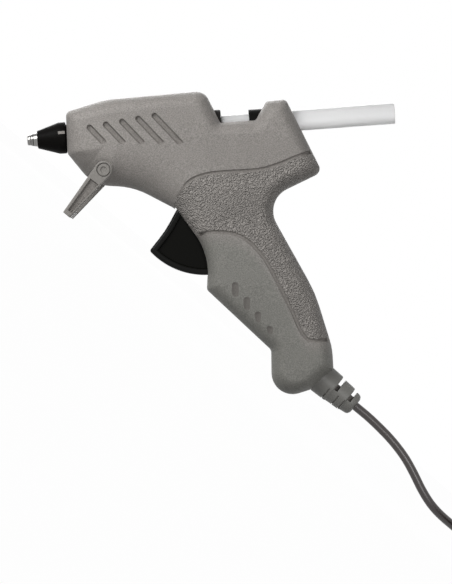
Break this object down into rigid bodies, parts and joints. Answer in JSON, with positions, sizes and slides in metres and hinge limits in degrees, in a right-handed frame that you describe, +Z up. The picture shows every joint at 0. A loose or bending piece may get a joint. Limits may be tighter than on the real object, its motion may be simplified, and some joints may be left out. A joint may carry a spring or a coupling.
{
  "type": "hot glue applicator",
  "caption": "Trigger-fed hot glue gun with vented barrel, contoured grip, heat-proof nozzle, clear glue stick, fold-out stand and coiled mains cord",
  "frame": {"origin": "On the floor under the stand's pivot, in the middle of the foot", "axes": "+Z up, nose towards -X, grip and cord towards +X, Y across the gun"},
  "size_m": [0.2986, 0.0542, 0.1115],
  "materials": {
    "housing_grey": "satin, fine grain",
    "black_plastic": "satin",
    "black_insulator": "satin",
    "black_rubber": "matte",
    "nozzle_metal": "turned, bright",
    "chamber_alloy": "as cast",
    "steel": "plated",
    "contact_brass": "plated",
    "heater_ceramic": "matte",
    "heater_film": "gloss",
    "clear_glue": "milky, clear",
    "lead_brown": "matte",
    "lead_blue": "matte",
    "cord_grey": "satin",
    "relief_grey": "satin"
  },
  "bodies": {
    "housing": {"housing_left": "housing_grey", "housing_right": "housing_grey", "stand_studs": "housing_grey", "housing_screws": "steel", "nozzle_tip": "nozzle_metal", "nozzle_insulator": "black_insulator", "melt_chamber": "chamber_alloy", "ptc_heater": "heater_ceramic", "heater_electrodes": "contact_brass", "heater_film": "heater_film", "inlet_sleeve": "black_rubber", "sleeve_clamp_ring": "steel", "trigger_pin": "steel", "return_spring": "steel", "live_lead": "lead_brown", "neutral_lead": "lead_blue", "crimp_sleeves": "steel", "cord_tail": "cord_grey", "cord_clamp": "black_plastic", "clamp_screws": "steel", "strain_relief": "relief_grey", "cord": "cord_grey", "cord_coil": "cord_grey", "cord_end": "cord_grey", "coil_tie": "black_plastic", "plug_body": "cord_grey", "plug_pins": "contact_brass"},
    "trigger": {"trigger": "black_plastic"},
    "carriage": {"feed_carriage": "black_plastic", "jaw_pin": "steel"},
    "jaw": {"grip_jaw": "steel"},
    "stick": {"glue_stick": "clear_glue"},
    "stand": {"stand": "housing_grey"}
  },
  "joints": [
    {"name": "trigger_pull", "type": "hinge", "parent": "housing", "child": "trigger", "pos_m": [0.03651, 0, 0.03718], "axis": [0, -1, 0], "range_deg": [0, 20.83], "deforming": ["return_spring"]},
    {"name": "carriage_slide", "type": "slide", "parent": "housing", "child": "carriage", "axis": [-0.7239, 0, -0.6899], "range_m": [0, 0.009], "stiffness_N_per_m": 60, "springref_m": -0.006},
    {"name": "jaw_grip", "type": "hinge", "parent": "carriage", "child": "jaw", "pos_m": [0.04231, 0, 0.06965], "axis": [0, 1, 0], "range_deg": [0, 5]},
    {"name": "stick_feed", "type": "slide", "parent": "housing", "child": "stick", "axis": [-0.7239, 0, -0.6899], "range_m": [0, 0.009]},
    {"name": "stand_swing", "type": "hinge", "parent": "housing", "child": "stand", "pos_m": [0, 0, 0.022], "axis": [0, -1, 0], "range_deg": [0, 91]}
  ],
  "couplings": [
    {"joint": "trigger_pull", "follows": "carriage_slide", "rad_per_m": 40.395},
    {"joint": "jaw_grip", "follows": "carriage_slide", "rad_per_m": 9.696},
    {"joint": "stick_feed", "follows": "carriage_slide", "ratio": 1}
  ]
}
